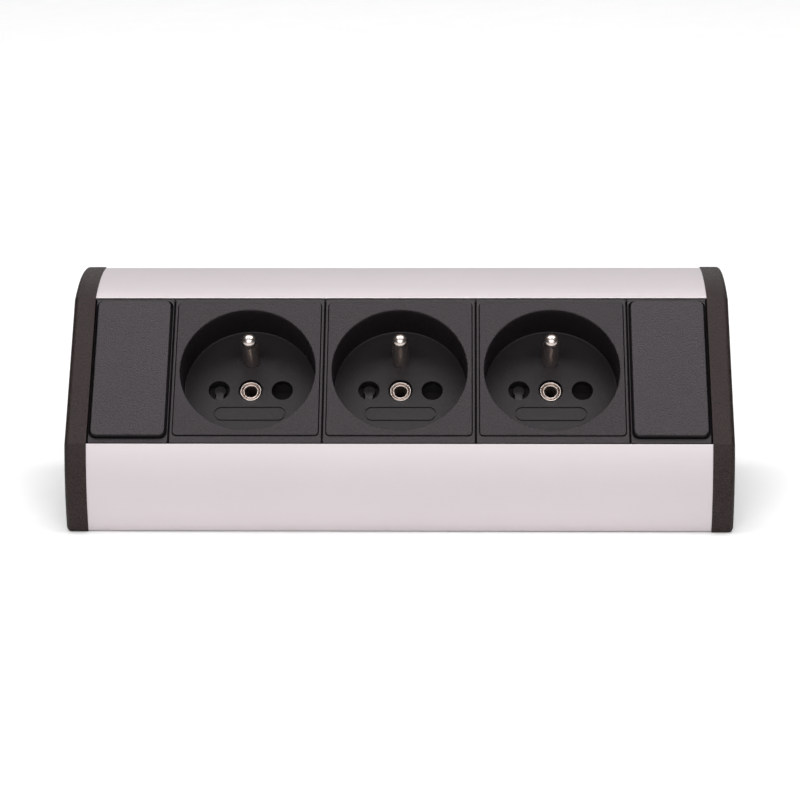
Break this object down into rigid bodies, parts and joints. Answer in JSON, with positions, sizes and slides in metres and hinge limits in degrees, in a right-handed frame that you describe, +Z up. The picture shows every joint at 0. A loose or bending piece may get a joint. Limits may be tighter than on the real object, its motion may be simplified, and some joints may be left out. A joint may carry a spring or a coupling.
{
  "type": "desk power strip",
  "caption": "Wedge-section aluminium desk power strip with earthed plug recesses, shuttered contact holes and pull-off blank covers in its slanted face.",
  "frame": {"origin": "middle of the underside, under the centre of the overall box", "axes": "+X along the strip to the right seen from the front, -Y the front, +Y the flat back, +Z up"},
  "size_m": [0.196, 0.0642, 0.0642],
  "materials": {
    "satin_aluminium": "satin anodised, very fine extrusion grain",
    "cap_plastic": "fine spark-eroded texture",
    "module_plastic": "fine spark-eroded texture",
    "panel_plastic": "fine spark-eroded texture",
    "cover_plastic": "coarser spark-eroded texture",
    "base_plastic": "plain moulded",
    "shutter_plastic": "plain moulded",
    "terminal_plastic": "plain moulded",
    "nickel": "nickel plated, lightly brushed",
    "brass": "stamped",
    "spring_steel": "drawn wire",
    "zinc_screw": "zinc plated",
    "tinned_copper": "tinned",
    "brown_insulation": "smooth insulation",
    "blue_insulation": "smooth insulation",
    "green_yellow_insulation": "smooth insulation",
    "grommet_rubber": "matt"
  },
  "bodies": {
    "strip": {"housing_profile": "satin_aluminium", "left_end_cap": "cap_plastic", "right_end_cap": "cap_plastic", "left_cap_screws": "zinc_screw", "right_cap_screws": "zinc_screw", "left_socket_frame": "module_plastic", "middle_socket_frame": "module_plastic", "right_socket_frame": "module_plastic", "left_socket_face": "panel_plastic", "middle_socket_face": "panel_plastic", "right_socket_face": "panel_plastic", "left_socket_base": "base_plastic", "middle_socket_base": "base_plastic", "right_socket_base": "base_plastic", "left_earth_pin": "nickel", "middle_earth_pin": "nickel", "right_earth_pin": "nickel", "left_centre_rivet": "nickel", "middle_centre_rivet": "nickel", "right_centre_rivet": "nickel", "left_line_contact": "brass", "middle_line_contact": "brass", "right_line_contact": "brass", "left_neutral_contact": "brass", "middle_neutral_contact": "brass", "right_neutral_contact": "brass", "left_shutter_spring": "spring_steel", "middle_shutter_spring": "spring_steel", "right_shutter_spring": "spring_steel", "left_blank_frame": "module_plastic", "right_blank_frame": "module_plastic", "line_busbar": "brass", "neutral_busbar": "brass", "earth_busbar": "brass", "terminal_block": "terminal_plastic", "terminal_clamps": "brass", "terminal_screws": "zinc_screw", "line_wire": "brown_insulation", "neutral_wire": "blue_insulation", "earth_wire": "green_yellow_insulation", "inlet_grommet": "grommet_rubber", "bonding_lug": "tinned_copper", "bonding_screw": "zinc_screw", "bonding_wire": "green_yellow_insulation"},
    "left_shutter": {"left_shutter": "shutter_plastic"},
    "middle_shutter": {"middle_shutter": "shutter_plastic"},
    "right_shutter": {"right_shutter": "shutter_plastic"},
    "left_blank_cover": {"left_blank_cover": "cover_plastic"},
    "right_blank_cover": {"right_blank_cover": "cover_plastic"}
  },
  "joints": [
    {"name": "left_shutter_slide", "type": "slide", "parent": "strip", "child": "left_shutter", "axis": [0, -0.7071, -0.7071], "range_m": [0, 0.0066], "stiffness_N_per_m": 100, "springref_m": -0.004, "deforming": ["left_shutter_spring"]},
    {"name": "middle_shutter_slide", "type": "slide", "parent": "strip", "child": "middle_shutter", "axis": [0, -0.7071, -0.7071], "range_m": [0, 0.0066], "stiffness_N_per_m": 100, "springref_m": -0.004, "deforming": ["middle_shutter_spring"]},
    {"name": "right_shutter_slide", "type": "slide", "parent": "strip", "child": "right_shutter", "axis": [0, -0.7071, -0.7071], "range_m": [0, 0.0066], "stiffness_N_per_m": 100, "springref_m": -0.004, "deforming": ["right_shutter_spring"]},
    {"name": "left_cover_pull", "type": "slide", "parent": "strip", "child": "left_blank_cover", "axis": [0, -0.7071, 0.7071], "range_m": [0, 0.012]},
    {"name": "right_cover_pull", "type": "slide", "parent": "strip", "child": "right_blank_cover", "axis": [0, -0.7071, 0.7071], "range_m": [0, 0.012]}
  ]
}
